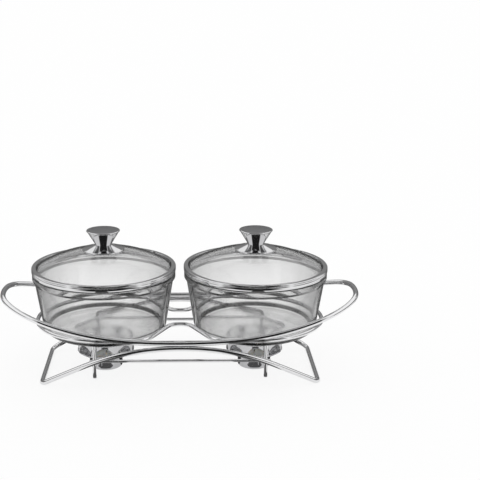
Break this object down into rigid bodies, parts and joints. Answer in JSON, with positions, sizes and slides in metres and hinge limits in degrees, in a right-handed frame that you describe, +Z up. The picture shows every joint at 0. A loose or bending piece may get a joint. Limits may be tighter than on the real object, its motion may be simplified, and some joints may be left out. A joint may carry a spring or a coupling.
{
  "type": "twin glass food warmer",
  "caption": "Tabletop food warmer: a bent chromed wire stand with loop handles holds covered round glass bowls side by side over candle burners.",
  "frame": {"origin": "on the ground, at the middle of the stand's length and depth", "axes": "+X along the stand to the right as seen from the front, +Y to the back, +Z up"},
  "size_m": [0.4422, 0.1876, 0.1801],
  "materials": {
    "stand_chrome": "polished round wire, butt and contact welds",
    "bowl_glass": "clear pressed glass, faintly grey",
    "lid_glass": "clear tempered glass",
    "band_steel": "polished stainless sheet",
    "knob_steel": "turned and polished, brushed top",
    "screw_steel": "plain",
    "washer_rubber": "clear silicone",
    "burner_steel": "bright spun sheet",
    "candle_aluminium": "thin bright foil cup",
    "candle_wax": "smooth paraffin wax",
    "candle_wick": "braided cotton"
  },
  "bodies": {
    "stand": {"oval_rail": "stand_chrome", "front_leg_arch": "stand_chrome", "rear_leg_arch": "stand_chrome", "bowl_ring": "stand_chrome", "left_bowl_rest": "stand_chrome", "right_bowl_rest": "stand_chrome", "rear_tie_bar": "stand_chrome", "front_burner_bar": "stand_chrome", "rear_burner_bar": "stand_chrome"},
    "left_bowl": {"left_bowl": "bowl_glass"},
    "left_lid": {"left_lid_glass": "lid_glass", "left_lid_band": "band_steel", "left_vent_eyelet": "band_steel", "left_knob_foot": "knob_steel", "left_knob_cap": "knob_steel", "left_knob_screw": "screw_steel", "left_knob_washer": "washer_rubber"},
    "left_burner": {"left_burner_cup": "burner_steel", "left_burner_collar": "burner_steel"},
    "left_candle": {"left_candle_cup": "candle_aluminium", "left_candle_wax": "candle_wax", "left_candle_wick": "candle_wick"},
    "right_bowl": {"right_bowl": "bowl_glass"},
    "right_lid": {"right_lid_glass": "lid_glass", "right_lid_band": "band_steel", "right_vent_eyelet": "band_steel", "right_knob_foot": "knob_steel", "right_knob_cap": "knob_steel", "right_knob_screw": "screw_steel", "right_knob_washer": "washer_rubber"},
    "right_burner": {"right_burner_cup": "burner_steel", "right_burner_collar": "burner_steel"},
    "right_candle": {"right_candle_cup": "candle_aluminium", "right_candle_wax": "candle_wax", "right_candle_wick": "candle_wick"}
  },
  "joints": [
    {"name": "left_bowl_lift", "type": "slide", "parent": "stand", "child": "left_bowl", "axis": [0, 0, 1], "range_m": [0, 0.12]},
    {"name": "left_lid_lift", "type": "slide", "parent": "left_bowl", "child": "left_lid", "axis": [0, 0, 1], "range_m": [0, 0.08]},
    {"name": "left_burner_slide", "type": "slide", "parent": "stand", "child": "left_burner", "axis": [1, 0, 0], "range_m": [0, 0.05]},
    {"name": "left_candle_lift", "type": "slide", "parent": "left_burner", "child": "left_candle", "axis": [0, 0, 1], "range_m": [0, 0.02]},
    {"name": "right_bowl_lift", "type": "slide", "parent": "stand", "child": "right_bowl", "axis": [0, 0, 1], "range_m": [0, 0.12]},
    {"name": "right_lid_lift", "type": "slide", "parent": "right_bowl", "child": "right_lid", "axis": [0, 0, 1], "range_m": [0, 0.08]},
    {"name": "right_burner_slide", "type": "slide", "parent": "stand", "child": "right_burner", "axis": [-1, 0, 0], "range_m": [0, 0.05]},
    {"name": "right_candle_lift", "type": "slide", "parent": "right_burner", "child": "right_candle", "axis": [0, 0, 1], "range_m": [0, 0.02]}
  ]
}
